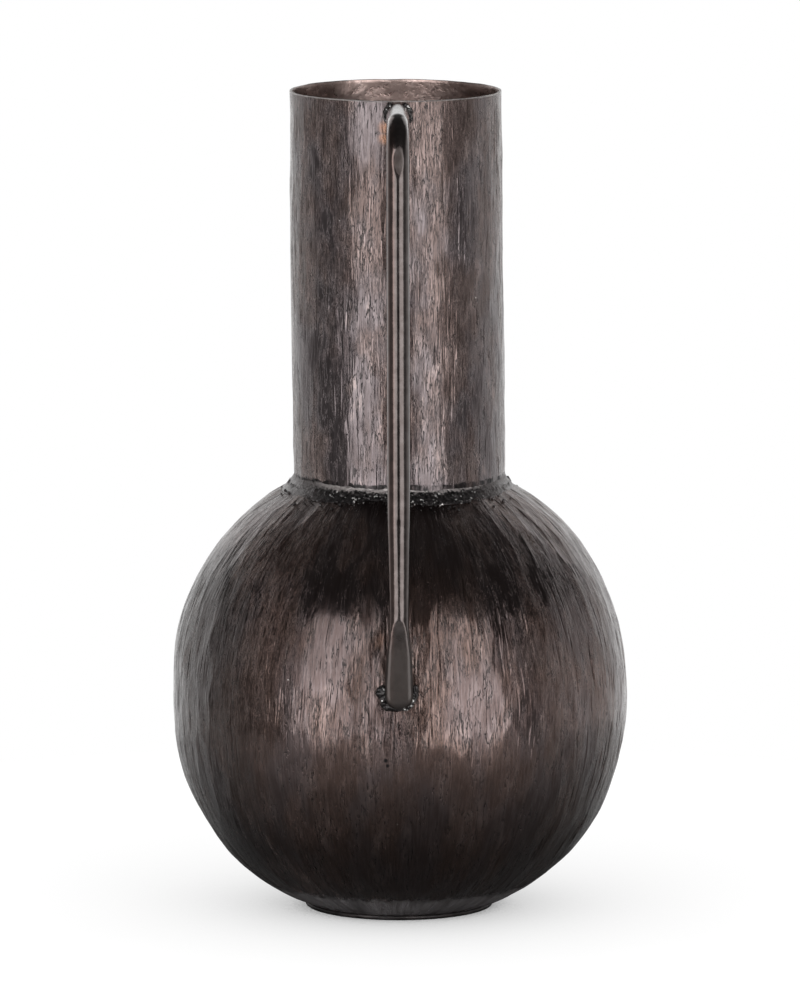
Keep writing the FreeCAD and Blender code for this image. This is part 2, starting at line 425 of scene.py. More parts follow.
# Tones of the finishes, as linear colours; a pair is a darker and a lighter tone
warm_bronze = ((0.080, 0.0570, 0.0510), (0.140, 0.1030, 0.0950))
cool_bronze = ((0.070, 0.0565, 0.0570), (0.120, 0.1010, 0.1030))
bright_bronze = (0.230, 0.180, 0.168)
red_bronze = (0.110, 0.030, 0.0)
line_black = (0.010, 0.008, 0.008)
# heat tint, partly a painted reflection of the rod
heat_tint_and_painted_reflection = (0.36, 0.16, 0.07)
# painted sparkles
painted_sparkle = (0.55, 0.52, 0.50)
# painted reflection of the floor on the band round the foot
painted_floor_reflection = (0.420, 0.395, 0.405)
crease_black = (0.006, 0.005, 0.005)
# painted shade in the undercut above the neck bead
painted_undercut_shade = (0.004, 0.003, 0.003)
# painted highlight on the near half of the rim
painted_rim_highlight = (0.62, 0.58, 0.56)
base_tones = ((0.026, 0.023, 0.023), (0.060, 0.053, 0.052))
# inside lacquer tones, painted lighter to stand in for light
inner_painted_lit_tones = ((0.36, 0.268, 0.242), (0.49, 0.375, 0.343))
# painted highlight blotches on the inside
inner_painted_highlight = (0.58, 0.48, 0.45)
# painted shade on the inside
inner_painted_shade = (0.110, 0.078, 0.068)
rod_tones = ((0.058, 0.047, 0.044), (0.088, 0.074, 0.071))
# painted reflection of the neck on a rod's flank
rod_painted_reflection = (0.130, 0.078, 0.066)
rod_forged = (0.042, 0.0355, 0.0330)
weld_tones = ((0.018, 0.016, 0.016), (0.060, 0.054, 0.054))
# painted glints on the weld
weld_glint = (0.80, 0.78, 0.76)
# painted highlight on the upper lip of the neck bead
weld_lip_painted_highlight = (0.460, 0.420, 0.410)
weld_smear = ((0.060, 0.050, 0.049), (0.120, 0.105, 0.104))

# Noises along the sheet: upright stretch, then scale per metre, detail, roughness and distortion
sheet_noises = ((2.0, 38.0, 3.0, 0.6, 0.0), (3.0, 170.0, 4.0, 0.65, 0.0), (7.0, 480.0, 3.0, 0.6, 0.2),
                (18.0, 1700.0, 3.0, 0.65, 0.1))

# Marked places on the front side, in millimetres: x, y, z, and the radii of their core and their edge
# Orange spots by the handle's joints: partly heat tint, partly a painted reflection of the rod
heat_and_reflection_spots = ((-6.0, -47.0, 358.0, 0.5, 4.5), (-6.5, -46.8, 353.0, 0.5, 4.0), (-8.0, -101.0, 137.0, 1.0, 7.0))
foot_pits = ((-6.0, -101.6, 83.0, 0.5, 1.3), (-5.2, -101.4, 80.6, 0.4, 1.1))

# Ground facet near the top of the rod, in millimetres
facet_height, facet_half_length, facet_half_width = 350.3, 6.8, 2.1


def sheet_coordinates(g, meridian):
    """A place, its point on a ring round the axis, and its run up the sheet, in metres."""
    place = g.node("NewGeometry")
    x, y, z = g.separate(place)
    flat = g.combine(x, y, 0.0)
    if meridian:
        scale = belly_radius * MM
        rise = g.math("ARCTAN2", g.math("SUBTRACT", z, belly_height * MM), g.length(flat))
        up = g.product(rise, scale)
    else:
        scale = neck_radius * MM
        up = z
    ring = g.separate(g.scaled(g.vector("NORMALIZE", flat), scale))
    return place, ring, up


def streak_place(g, ring, up, stretch):
    """Place on the sheet with its height pressed together, so that marks come out long."""
    return g.combine(ring[0], ring[1], g.math("DIVIDE", up, stretch))


def marked_spots(g, place, spots):
    """1 at the spots and at their copies turned to the rear, falling to 0 round them."""
    total = 0.0
    for x, y, z, inner, outer in spots:
        for side in (1, -1):
            away = g.vector("DISTANCE", place, (side * x * MM, side * y * MM, z * MM), output=1)
            total = g.math("MAXIMUM", total, g.span(away, inner * MM, outer * MM, 1.0, 0.0))
    return total


def fine_lines(g, field, width, gate):
    """Thin lines where a noise crosses its middle, as far as the gate lets them through."""
    away = g.math("ABSOLUTE", g.math("SUBTRACT", field, 0.5))
    return g.product(g.span(away, 0.0, width, 1.0, 0.0), gate)


def bowl_marks(g, place, patch, flakes, colour, rough):
    """Pale, rougher band at the foot that is a painted reflection of the floor, painted shade on the
    shoulder, the left side and the flanks, and the crease and pits below the handle.
    """
    x, y, z = g.millimetres(place)
    # Pale band round the foot: painted reflection of the floor, on a rougher finish
    foot = g.span(g.add(z, g.product(flakes, 8.0)), 14.5, 18.0, 0.9, 0.0)
    foot = g.product(foot, g.span(patch, 0.30, 0.60, 0.6, 1.0))
    colour = g.mix(foot, colour, painted_floor_reflection)
    rough = g.add(rough, g.product(foot, 0.45))
    # Painted shade: the shoulder, the left side and the lower flanks darkened towards black
    shoulder = g.product(g.span(z, 108.0, 128.0, 0.0, 0.24), g.span(z, 150.0, 185.0, 1.0, 0.0))
    left = g.product(g.span(x, -80.0, -45.0, 0.6, 0.0), g.span(z, 150.0, 180.0, 1.0, 0.0))
    flanks = g.product(g.span(g.math("ABSOLUTE", x), 40.0, 75.0, 0.0, 0.4), g.span(z, 82.0, 100.0, 1.0, 0.0))
    painted_shade = g.math("MAXIMUM", shoulder, g.math("MAXIMUM", left, flanks))
    colour = g.mix(painted_shade, colour, (0.0, 0.0, 0.0))
    sway = g.product(g.math("SUBTRACT", flakes, 0.5), 4.0)
    crease = g.span(g.math("ABSOLUTE", g.add(x, sway, 2.6)), 0.2, 0.7, 0.55, 0.0)
    crease = g.product(crease, g.span(z, 74.0, 84.0), g.span(z, 100.0, 106.0, 1.0, 0.0))
    crease = g.product(crease, g.span(y, -90.0, -80.0, 1.0, 0.0))
    marks = g.math("MAXIMUM", crease, marked_spots(g, place, foot_pits))
    return g.mix(marks, colour, crease_black), rough


def neck_marks(g, place, patch, flakes, colour, rough):
    """Painted shade in the undercut above the neck bead, and a painted highlight on the near half of the rim.
    """
    x, y, z = g.millimetres(place)
    # Painted shade: a dark line in the undercut just above the bead
    undercut = g.span(g.add(z, g.product(flakes, 4.0)), 199.5, 200.2, 0.9, 0.0)
    undercut = g.product(undercut, g.span(patch, 0.42, 0.56, 0.15, 1.0))
    colour = g.mix(undercut, colour, painted_undercut_shade)
    # Painted highlight: a pale line along the near half of the rim
    rim = g.product(g.span(z, 369.45, 369.65), g.span(y, -4.0, 10.0, 0.8, 0.0))
    colour = g.mix(rim, colour, painted_rim_highlight)
    return colour, g.add(rough, g.product(g.math("MAXIMUM", undercut, rim), 0.45))


def sheet_material(name, meridian):
    """Dark bronze lacquer over sheet that is covered in upright chisel marks."""
    g = Graph(name)
    place, ring, up = sheet_coordinates(g, meridian)
    broad, patch, plates, hair = (
        g.noise(streak_place(g, ring, up, stretch), *look) for stretch, *look in sheet_noises
    )
    grain = g.noise(place, 5200.0, 2.0, 0.6)
    flakes = g.noise(place, 210.0, 4.0, 0.6, 0.6)
    cracks = fine_lines(g, plates, 0.028, g.span(patch, 0.44, 0.55))
    splits = fine_lines(g, hair, 0.030, g.span(broad, 0.42, 0.56))
    lines = g.math("MAXIMUM", cracks, g.product(splits, 0.5))
    tone = g.span(g.add(g.product(patch, 0.5), g.product(hair, 0.5)), 0.40, 0.60)
    colour = g.mix(g.span(broad, 0.42, 0.60), g.mix(tone, *cool_bronze), g.mix(tone, *warm_bronze))
    colour = g.mix(g.span(patch, 0.56, 0.72, 0.0, 0.6), colour, bright_bronze)
    if meridian:
        colour = g.mix(0.13, colour, red_bronze)
    colour = g.mix(g.product(lines, 0.85), colour, line_black)
    # Orange tint by the handle's joints: heat tint and a painted reflection of the rod
    heat_and_reflection_tint = g.product(marked_spots(g, place, heat_and_reflection_spots), g.span(patch, 0.30, 0.62, 0.0, 0.6))
    colour = g.mix(heat_and_reflection_tint, colour, heat_tint_and_painted_reflection)
    # Small pale specks scattered at random: painted sparkles
    cells = g.node("TexVoronoi", {"Vector": place, "Scale": 62.0}, feature="F1")
    colour = g.mix(g.span(cells, 0.018, 0.028, 0.8, 0.0), colour, painted_sparkle)
    rough = g.add(g.span(hair, 0.3, 0.7, 0.12, 0.18), g.span(patch, 0.35, 0.65, 0.03, -0.03))
    rough = g.add(rough, g.product(lines, 0.2))
    add_marks = bowl_marks if meridian else neck_marks
    colour, rough = add_marks(g, place, patch, flakes, colour, rough)
    x, y, z = g.separate(place)
    sideways = g.math("DIVIDE", g.math("ABSOLUTE", x), g.length(g.combine(x, y, 0.0)))
    deeper = g.span(sideways, 0.55, 0.90, 1.0, 2.6)
    normal = g.bump(plates, g.product(deeper, 0.00014))
    normal = g.bump(hair, 0.00007, normal)
    normal = g.bump(g.math("SUBTRACT", 1.0, lines), g.product(deeper, 0.00016), normal)
    normal = g.bump(grain, 0.00001, normal)
    return g.lacquer(colour, rough, normal, 1.0, 0.25, 0.16)


def base_material():
    """Dull dark lacquer of the base disc."""
    g = Graph("base_lacquer")
    place = g.node("NewGeometry")
    blotch = g.noise(place, 180.0, 4.0, 0.6)
    grain = g.noise(place, 1800.0, 3.0, 0.6)
    colour = g.mix(g.span(blotch, 0.35, 0.65), *base_tones)
    rough = g.span(grain, 0.3, 0.7, 0.42, 0.60)
    normal = g.bump(grain, 0.00004, g.bump(blotch, 0.0004))
    return g.lacquer(colour, rough, normal, 0.9, 0.1, 0.3)


def inner_material():
    """Duller brown lacquer on the inside, painted lighter than the outside to stand in for the light it
    catches, with painted highlight blotches and painted shade at the flanks and below.
    """
    g = Graph("inner_lacquer")
    place = g.node("NewGeometry")
    x, y, z = g.millimetres(place)
    blotch = g.noise(place, 130.0, 4.0, 0.6)
    dapple = g.noise(place, 420.0, 4.0, 0.65, 0.3)
    grain = g.noise(place, 2600.0, 2.0, 0.6)
    # Tones painted lighter than the outside lacquer, standing in for light
    colour = g.mix(g.span(blotch, 0.38, 0.62), *inner_painted_lit_tones)
    # Pale blotches: painted highlight
    colour = g.mix(g.span(dapple, 0.60, 0.74, 0.0, 0.6), colour, inner_painted_highlight)
    # Painted shade at the flanks and deeper down
    flank = g.span(g.math("ABSOLUTE", x), 18.0, 38.0, 0.0, 0.75)
    colour = g.mix(g.math("MAXIMUM", flank, g.span(z, 338.0, 352.0, 0.7, 0.0)), colour, inner_painted_shade)
    rough = g.span(dapple, 0.3, 0.7, 0.26, 0.36)
    normal = g.bump(grain, 0.00003, g.bump(dapple, 0.0002))
    return g.lacquer(colour, rough, normal, 0.95, 0.2, 0.3)


def rod_material():
    """Smooth black bronze lacquer on drawn rod, with a ground facet, a dull forged foot and a painted
    reflection of the neck on one flank.
    """
    g = Graph("rod_lacquer")
    place = g.node("NewGeometry")
    x, y, z = g.separate(place)
    lines = g.noise(g.combine(x, y, g.math("DIVIDE", z, 30.0)), 1500.0, 2.0, 0.6)
    blotch = g.noise(place, 240.0, 3.0, 0.6)
    grain = g.noise(place, 3600.0, 2.0, 0.6)
    x, y, z = g.millimetres(place)
    colour = g.mix(g.span(blotch, 0.35, 0.7), *rod_tones)
    # Reddish tint on one flank: painted reflection of the neck beside the rod
    flank = g.span(g.product(x, g.math("SIGN", y)), 1.4, 3.2)
    colour = g.mix(g.product(flank, g.span(blotch, 0.3, 0.6, 0.4, 1.0), 0.5), colour, rod_painted_reflection)
    facet_x = g.math("DIVIDE", x, facet_half_width)
    facet_z = g.math("DIVIDE", g.math("SUBTRACT", z, facet_height), facet_half_length)
    facet = g.span(g.length(g.combine(facet_x, 0.0, facet_z)), 0.80, 1.0, 1.0, 0.0)
    forged = g.span(z, 128.0, 146.0, 1.0, 0.0)
    colour = g.mix(g.product(forged, 0.85), colour, rod_forged)
    rough = g.add(g.span(blotch, 0.3, 0.7, 0.13, 0.19), g.span(lines, 0.35, 0.65, 0.0, 0.05))
    rough = g.add(rough, g.product(g.math("MAXIMUM", facet, forged), 0.26))
    normal = g.bump(grain, 0.000005, g.bump(lines, 0.000012))
    return g.lacquer(colour, rough, normal, 1.0, 0.3, 0.12)


def weld_material():
    """Coarse black weld metal with painted glints, a painted highlight along its upper lip and greyer flanks
    round the neck.
    """
    g = Graph("weld_lacquer")
    place = g.node("NewGeometry")
    x, y, z = g.millimetres(place)
    lump = g.noise(place, 700.0, 3.0, 0.65)
    grain = g.noise(place, 2600.0, 3.0, 0.65)
    # Painted glints: small white specks gathered in clusters
    cells = g.node("TexVoronoi", {"Vector": place, "Scale": 1300.0}, 1, feature="F1")
    glint = g.span(g.separate(cells)[0], 0.88, 0.95)
    glint = g.product(glint, g.span(g.noise(place, 260.0, 2.0), 0.44, 0.58))
    colour = g.mix(glint, g.mix(g.span(lump, 0.35, 0.7), *weld_tones), weld_glint)
    # Pale lip along the top of the neck bead: painted highlight
    lip = g.add(z, g.product(g.math("SUBTRACT", lump, 0.5), 6.0))
    lip = g.span(lip, bowl_height + 1.2, bowl_height + 2.6)
    lip = g.product(lip, g.span(z, 200.0, 210.0, 1.0, 0.0))
    colour = g.mix(g.product(lip, 0.85), colour, weld_lip_painted_highlight)
    flank = g.product(g.span(g.math("ABSOLUTE", x), 30.0, 41.0), g.span(z, 185.0, 189.0), 0.9)
    colour = g.mix(flank, colour, g.mix(g.span(lump, 0.35, 0.65), *weld_smear))
    rough = g.add(g.span(grain, 0.3, 0.7, 0.22, 0.5), g.product(lip, 0.2))
    normal = g.bump(grain, 0.00016, g.bump(lump, 0.0006))
    return g.lacquer(colour, rough, normal, 1.0, 0.3, 0.1)


bowl_lacquer = sheet_material("bowl_lacquer", True)
neck_lacquer = sheet_material("neck_lacquer", False)
base_lacquer = base_material()
inner_lacquer = inner_material()
rod_lacquer = rod_material()
weld_lacquer = weld_material()

# Bowl and neck


def sheet_relief(rng, run, radius, columns, grooves, look):
    """Relief of the worked sheet: broad swells, hammer dishes, bark-like ridges and narrow grooves."""
    shape = (len(run), columns)
    step = (run[1] - run[0], TURN * radius.max() / columns)
    relief = 0.24 * band_noise(rng, shape, step, (38.0, 30.0))
    relief += 0.50 * (hammer_field(rng, shape, step, (15.0, 8.0)) - 0.4)
    bark = band_noise(rng, shape, step, (14.0, 1.9))
    relief -= 0.018 * np.abs(bark) ** 1.2
    relief += 0.003 * band_noise(rng, shape, step, (9.0, 1.0))
    stamp_grooves(rng, relief, run, radius, grooves, look)
    return np.clip(relief, -0.75, 0.45)


def make_bowl():
    """The two halves of the bowl, cut from one worked sheet."""
    rng = np.random.default_rng(bowl_seed)
    low = bowl_outline(0, base_thickness, belly_height, bowl_rows)
    high = bowl_outline(0, belly_height, bowl_height, bowl_rows)
    outline = [np.concatenate([a, b[1:]]) for a, b in zip(low[:4], high[:4])]
    run = np.concatenate([low[4], low[4][-1] + high[4][1:]])
    even = np.linspace(0, run[-1], len(run))
    even_radius = np.interp(even, run, outline[0])
    relief = sheet_relief(rng, even, even_radius, bowl_columns, bowl_groove_count, bowl_groove_look)
    angle = np.arange(bowl_columns) / bowl_columns * TURN
    flat = np.exp(-(((angle - math.pi) / math.radians(flat_angle)) ** 2))[None, :]
    band = np.clip(1 - np.abs(outline[1] - belly_height) / flat_half_height, 0, 1)[:, None]
    relief -= flat_depth * flat * np.sqrt(band)
    radius, height, normal_r, normal_z = (v[:, None] for v in outline)
    radius, height = radius + relief * normal_r, height + relief * normal_z
    height[0], height[-1] = base_thickness, bowl_height
    sheet = ring_points(radius, height, bowl_columns).reshape(len(run), bowl_columns, 3)
    sheet_normals = grid_normals(sheet)
    halves = (
        ("lower_bowl", slice(0, bowl_rows), (base_thickness, belly_height)),
        ("upper_bowl", slice(bowl_rows - 1, 2 * bowl_rows - 1), (belly_height, bowl_height)),
    )
    inner_rows = bowl_rows // 2
    inner_columns = bowl_columns // inner_step
    outer_count = bowl_rows * bowl_columns
    last_outer, last_inner = (bowl_rows - 1) * bowl_columns, outer_count + (inner_rows - 1) * inner_columns
    for name, rows, limits in halves:
        inner = bowl_outline(bowl_wall, *limits, inner_rows)
        swell = 0.12 * band_noise(rng, (inner_rows, inner_columns), (4.0, 3.0), (20.0, 16.0))
        inner_radius = inner[0][:, None] - np.abs(swell)
        lining = ring_points(inner_radius, inner[1], inner_columns).reshape(inner_rows, inner_columns, 3)
        lining_normals = grid_normals(lining, True)
        points = np.concatenate([sheet[rows].reshape(-1, 3), lining.reshape(-1, 3)])
        normals = np.concatenate([sheet_normals[rows].reshape(-1, 3), lining_normals.reshape(-1, 3)])
        faces = grid_faces(bowl_rows, bowl_columns)
        faces += grid_faces(inner_rows, inner_columns, outer_count, True)
        faces += stitch_faces(0, bowl_columns, outer_count, inner_step)
        faces += stitch_faces(last_outer, bowl_columns, last_inner, inner_step, True)
        make_piece(name + "_sheet", points, faces, bowl_lacquer, [name], normals,
                   (inner_lacquer, last_outer))


def make_neck():
    """Neck tube: worked sheet outside, smoother inside, with a thin rounded rim."""
    rng = np.random.default_rng(neck_seed)
    height = np.linspace(bowl_height, overall_height - rim_depth, neck_rows)
    run = height - height[0]
    even_radius = np.full(neck_rows, neck_radius)
    relief = sheet_relief(rng, run, even_radius, neck_columns, neck_groove_count, neck_groove_look)
    fade_length, least = 14.0, 0.12
    relief *= (least + (1 - least) * np.clip((height[-1] - height) / fade_length, 0, 1) ** 0.8)[:, None]
    step = (run[1], TURN * neck_radius / neck_columns)
    relief += 0.12 * band_noise(rng, relief.shape, step, (60.0, 50.0))
    outer = neck_radius + relief - 0.1
    wave = 0.07 * band_noise(rng, (1, neck_columns), (1.0, step[1]), (1.0, 9.0))
    wave = np.clip(wave, -rim_wave_limit, rim_wave_limit)
    inset, drop = (np.array(v)[:, None] for v in zip(*rim_bevel))
    rim_radius = outer[-1:] - inset
    rim_height = overall_height - drop + wave
    inner_columns = neck_columns // neck_inner_step
    inner_height = np.linspace(overall_height - neck_wall / 2 - 1.0, bowl_height, neck_inner_rows)
    inner_grid = (neck_inner_rows, inner_columns)
    swell = noises(rng, inner_grid, (2.8, 1.2), (0.16, (9.0, 12.0)), (0.05, (5.0, 3.0)))
    inner_radius = neck_radius - neck_wall - np.abs(swell)
    points = np.concatenate([
        ring_points(outer, height, neck_columns),
        ring_points(rim_radius, rim_height, neck_columns),
        ring_points(inner_radius, inner_height, inner_columns),
    ])
    rows = neck_rows + len(rim_bevel)
    start = rows * neck_columns
    faces = grid_faces(rows, neck_columns)
    faces += grid_faces(neck_inner_rows, inner_columns, start)
    faces += stitch_faces((rows - 1) * neck_columns, neck_columns, start, neck_inner_step, True)
    last_inner = start + (neck_inner_rows - 1) * inner_columns
    faces += stitch_faces(0, neck_columns, last_inner, neck_inner_step)
    points[:, 0] -= neck_lean * np.clip((points[:, 2] - bowl_height) / (overall_height - bowl_height), 0, 1)
    make_piece("neck_sheet", points, faces, neck_lacquer, ["neck_tube"],
               lining=(inner_lacquer, (rows - 1) * neck_columns))


# Welds that run round the axis


def lumpy_ring(name, section, columns, lumps, node, seed, drops=0):
    """A weld bead round the axis, with drops of spatter beside it.

    The section is a closed loop of (radius, height, share of lumps); lumps are pairs of size and wave.
    """
    rng = np.random.default_rng(seed)
    section = np.array(section, float)
    rows = len(section)
    centre = section[:, :2].mean(0)
    out = section[:, :2] - centre
    out /= np.maximum(np.hypot(out[:, 0], out[:, 1]), 1e-6)[:, None]
    step = (0.5, TURN * section[:, 0].max() / columns)
    relief = noises(rng, (rows, columns), step, *lumps) * section[:, 2:]
    radius, height = section[:, :1] + relief * out[:, :1], section[:, 1:2] + relief * out[:, 1:]
    points = ring_points(radius, height, columns)
    faces = grid_faces(rows, columns, closed_rows=True)
    if drops:
        more, more_faces = spatter(rng, drops)
        faces += [[k + len(points) for k in f] for f in more_faces]
        points = np.concatenate([points, more])
    make_piece(name, points, faces, weld_lacquer, [node])


def shoulder_height_at(radius):
    """Height of the bowl's shoulder at a distance from the axis."""
    share = (radius / belly_radius) ** shoulder_power
    return belly_height + shoulder_rise * (1 - share) ** (1 / shoulder_power)


def make_neck_weld():
    """Coarse bead in the corner between the neck and the shoulder."""
    buried = 0.3
    top = bowl_height + neck_bead_rise
    low_radius = neck_radius + neck_bead_spread
    low_height = shoulder_height_at(low_radius)
    section = []
    for s in np.linspace(0, 1, 18):
        bulge = math.sin(math.pi * s)
        r = neck_radius - buried + (low_radius - neck_radius + buried) * s**1.35
        z = top - (top - low_height + 0.4) * s**0.75
        lumpy = 0.85 if s < 0.5 else min(0.85, 4 * (1 - s)) + 0.1
        section.append((r + 0.35 * bulge, z + 0.25 * bulge, lumpy))
    section.append((low_radius - 2.5, low_height - 1.0, 0.0))
    section.append((neck_radius - 0.6, bowl_height - 0.8, 0.0))
    section.append((neck_radius - 0.7, top - 1.0, 0.0))
    lumps = ((0.34, (3.0, 6.0)), (0.30, (1.6, 1.8)), (0.16, (0.9, 0.8)))
    lumpy_ring("neck_weld_bead", section[::-1], 1400, lumps, "neck_weld", neck_bead_seed, drop_count)


def spatter(rng, count):
    """Small drops of weld metal on the shoulder below the neck bead, as points and faces."""
    ring, level, pole = 10, 5, 0.12
    tilt = np.linspace(pole, math.pi - pole, level)
    ball = ring_points(np.sin(tilt), np.cos(tilt), ring)
    points, faces = [], []
    for _ in range(count):
        angle = rng.choice([-1, 1]) * TURN / 4 + rng.normal() * 0.55
        distance = neck_radius + 5.0 + 5.5 * rng.random() ** 3
        size = 0.30 + 0.60 * rng.random() ** 3
        height = shoulder_height_at(distance) + 0.25 * size
        centre = np.array([distance * math.cos(angle), distance * math.sin(angle), height])
        start = len(points) * ring * level
        points.append(centre + ball * size * (0.8 + 0.5 * rng.random((ring * level, 1))))
        faces += grid_faces(level, ring, start, True)
        last = start + (level - 1) * ring
        faces += [list(range(start, start + ring)), list(range(last, last + ring))[::-1]]
    return np.concatenate(points), faces


def make_inner_welds():
    """Seam weld inside the bowl and the bead round the base disc."""
    wall = belly_radius - bowl_wall
    half = [(wall + 0.3, 2.2, 0.0), (wall - 0.5, 1.5, 0.6), (wall - 0.9, 0.5, 1.0)]
    section = [(r, belly_height - z, lumpy) for r, z, lumpy in half]
    section += [(r, belly_height + z, lumpy) for r, z, lumpy in half[::-1]]
    lumps = ((0.12, (3.0, 4.0)), (0.05, (1.0, 1.2)))
    lumpy_ring("belly_seam_bead", section[::-1], 900, lumps, "belly_seam_weld", seam_bead_seed)
    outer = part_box("base_weld")[1].x / MM
    bead = ((0.2, 0.0, 0.0), (-3.2, -0.1, 0.0), (-2.9, 0.8, 0.8), (-2.0, 1.5, 1.0), (-0.8, 2.0, 0.9),
            (0.9, 2.6, 0.2))
    section = [(outer + r, base_thickness + z, lumpy) for r, z, lumpy in bead]
    lumps = ((0.12, (3.0, 4.0)), (0.06, (1.0, 1.2)))
    lumpy_ring("base_weld_bead", section[::-1], 500, lumps, "base_weld", base_bead_seed)


# Base


def make_base():
    """Base disc with a rounded lower edge."""
    rng = np.random.default_rng(base_seed)
    columns = 360
    bevel = 0.25
    turn = np.linspace(0, math.pi / 2, 7)
    corner_radius = base_radius - base_edge_round + base_edge_round * np.sin(turn)
    under = [0.0, 12.0, 24.0, 34.0, 39.0]
    over = [base_radius, base_radius - bevel, 39.0, 20.0, 0.0]
    r = np.concatenate([under, corner_radius, over])
    z = np.concatenate([np.zeros(len(under)), base_edge_round * (1 - np.cos(turn)), [base_thickness - bevel],
                        np.full(len(over) - 1, base_thickness)])
    points = ring_points(r, z, columns)
    wave = 0.05 * band_noise(rng, (len(r), columns), (1.0, 0.74), (3.0, 10.0)).reshape(-1)
    radial = np.hypot(points[:, 0], points[:, 1])
    edge = (radial > 41.0) & (points[:, 2] > 0.3) & (points[:, 2] < base_thickness)
    points[:, :2] *= (1 + np.where(edge, wave / np.maximum(radial, 1), 0))[:, None]
    points = np.concatenate([points[columns:-columns], [[0, 0, 0], [0, 0, base_thickness]]])
    rows, bottom, top = len(r) - 2, len(points) - 2, len(points) - 1
    faces = grid_faces(rows, columns) + fan_faces(bottom, 0, columns, True)
    faces += fan_faces(top, (rows - 1) * columns, columns)
    make_piece("base_plate", points, faces, base_lacquer, ["base_disc"])


# Handles


def soft_min(a, b, blend):
    """The smaller of two values, with the corner between them rounded over blend."""
    share = np.clip(0.5 + 0.5 * (b - a) / blend, 0, 1)
    return b * (1 - share) + a * share - blend * share * (1 - share)


def leaned(points, side):
    """Points of a handle; the front one leans a little to the left towards its top."""
    share = np.clip((points[:, 2] - foot_bottom) / (overall_height - foot_bottom), 0, 1)
    points[:, 0] -= (handle_lean if side < 0 else 0.0) * share
    return points


def handle_path(rod_height, spacing, foot_spacing):
    """Stations of a handle: distance from the axis, height, and the outward direction in the same plane."""
    stations = []
    bend_start = handle_reach - bend_radius
    for d in np.arange(rod_start, bend_start, spacing):
        stations.append((d, rod_height, 0.0, 1.0))
    for a in np.linspace(0, math.pi / 2, 44):
        sin, cos = math.sin(a), math.cos(a)
        stations.append((bend_start + bend_radius * sin, rod_height - bend_radius * (1 - cos), sin, cos))
    for z in np.arange(rod_height - bend_radius - spacing, foot_top, -spacing):
        stations.append((handle_reach, z, 1.0, 0.0))
    lower = np.arange(foot_top, foot_bottom + foot_end_radius, -foot_spacing)
    end = foot_bottom + foot_end_radius * (1 - np.sin(np.linspace(0, math.pi / 2, 22)))
    for z in np.concatenate([lower, end[:-1]]):
        stations.append((handle_reach, z, 1.0, 0.0))
    return np.array(stations)


def foot_section(path, cos, sin):
    """The rod's section at each station, across and outwards from its middle, pressed at the foot."""
    z = path[:, 1]
    on_foot = (path[:, 2] > 0.999) & (z <= foot_top)
    share = np.clip((foot_top - z) / foot_length, 0, 1)
    width_share = np.interp(share, *zip(*foot_width_shares))
    half_width = np.where(on_foot, rod_radius + foot_spread * width_share, rod_radius)
    across = half_width[:, None] * cos
    out = np.minimum(half_width, rod_radius)[:, None] * sin
    sunk = np.clip((press_top - z) / press_run, 0, 1)
    pressed = np.where(on_foot, rod_radius - foot_press * sunk * (2 - sunk), 9.0)
    corner = (0.3 + foot_corner_round * sunk)[:, None]
    out = np.where(sin > 0, soft_min(out, pressed[:, None], corner), -soft_min(-out, pressed[:, None], 0.35))
    drop = np.clip(foot_bottom + foot_end_radius - z, 0, foot_end_radius) / foot_end_radius
    across = across * np.where(on_foot, np.sqrt(np.clip(1 - drop**2.6, 0, None)), 1.0)[:, None]
    blunt = np.where(on_foot, 1 - 0.6 * drop**3, 1.0)[:, None]
    out = np.where(sin > 0, out * blunt, out)
    forged = np.clip((share - 0.1) / 0.5, 0, 1)[:, None] * on_foot[:, None]
    return across, out, forged, on_foot[:, None]


def rod_dents(rng, shape, forged):
    """Uneven surface of the rod, in millimetres, rougher where the foot was forged."""
    step = (0.8, TURN * rod_radius / shape[1])
    dents = noises(rng, shape, step, (0.022, (22.0, 12.0)), (0.003, (4.0, 2.5)))
    blows = noises(rng, shape, step, (0.05, (9.0, 6.0)), (0.008, (2.4, 1.8)))
    return dents + forged * blows


def grind_bend(distance, height, rod_height, on_foot):
    """Presses the points outside the facet's plane at the bend back towards it."""
    touch = (handle_reach + rod_radius - bend_flat_depth, rod_height - bend_radius)
    tilt = math.radians(bend_flat_tilt)
    over = (distance - touch[0]) * math.cos(tilt) + (height - touch[1]) * math.sin(tilt)
    over = np.where(on_foot | (height < rod_height - 3 * bend_radius), -1.0, over)
    push = 0.72 * np.maximum(over, 0)
    return distance - push * math.cos(tilt), height - push * math.sin(tilt)


def make_handle(name, side, rod_height, seed):
    """One handle; side is -1 for the front one and 1 for the rear one."""
    rng = np.random.default_rng(seed)
    path = handle_path(rod_height, 1.1, 0.55)
    rows, columns = len(path), rod_columns
    theta = np.arange(columns) / columns * TURN
    across, out, forged, on_foot = foot_section(path, np.cos(theta)[None, :], np.sin(theta)[None, :])
    shrink = 1 + rod_dents(rng, (rows, columns), forged) / rod_radius
    across, out = across * shrink, out * shrink
    distance = path[:, 0][:, None] + out * path[:, 2][:, None]
    height = path[:, 1][:, None] + out * path[:, 3][:, None]
    distance, height = grind_bend(distance, height, rod_height, on_foot)
    tip = [0.0, handle_reach, foot_bottom]
    root = [0.0, rod_start, rod_height]
    points = np.concatenate([np.stack([across, distance, height], -1).reshape(-1, 3), [tip, root]])
    points[:, 0] *= -side
    points[:, 1] *= side
    points = leaned(points, side)
    faces = grid_faces(rows, columns, flip=True)
    faces += fan_faces(rows * columns, (rows - 1) * columns, columns, True)
    faces += fan_faces(rows * columns + 1, 0, columns)
    make_piece(name + "_rod", points, faces, rod_lacquer, [name])


